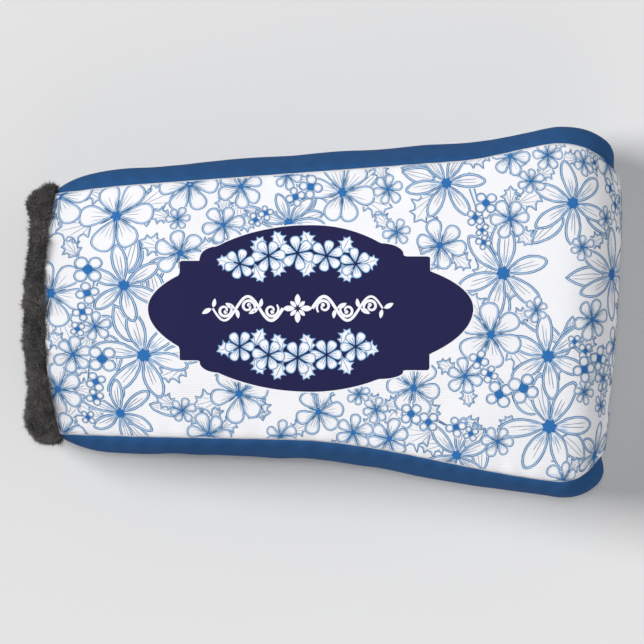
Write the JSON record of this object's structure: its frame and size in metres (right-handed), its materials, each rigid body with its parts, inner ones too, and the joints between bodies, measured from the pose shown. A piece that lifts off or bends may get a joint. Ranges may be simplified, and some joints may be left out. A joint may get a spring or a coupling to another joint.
{
  "type": "putter head cover",
  "caption": "Padded fabric slip-on cover for a golf putter head, with printed front and back panels, side gussets and an elastic fleece cuff round the mouth.",
  "frame": {"origin": "centre of the bounding box's bottom face, on the surface the cover rests on", "axes": "+X from the mouth to the nose, +Y across the front face towards the upper gusset, +Z out of the front face"},
  "size_m": [0.1714, 0.1046, 0.0531],
  "materials": {
    "printed_cloth": "fine ribbed white cloth with a blue line print of flowers",
    "gusset_cloth": "plain mid-blue cloth",
    "padding": "soft open-cell foam",
    "fleece": "charcoal fleece with a short fluffy pile",
    "elastic": "flat woven elastic",
    "thread": "twisted polyester thread"
  },
  "bodies": {
    "root": {"front_panel": "printed_cloth", "back_panel": "printed_cloth", "upper_gusset": "gusset_cloth", "lower_gusset": "gusset_cloth", "front_padding": "padding", "back_padding": "padding", "upper_gusset_padding": "padding", "lower_gusset_padding": "padding", "front_lining": "fleece", "back_lining": "fleece", "upper_gusset_lining": "fleece", "lower_gusset_lining": "fleece", "fleece_cuff": "fleece", "mouth_elastic": "elastic", "front_upper_seam_thread": "thread", "front_lower_seam_thread": "thread", "back_upper_seam_thread": "thread", "back_lower_seam_thread": "thread", "nose_seam_thread": "thread", "cuff_stitching": "thread"}
  },
  "joints": []
}
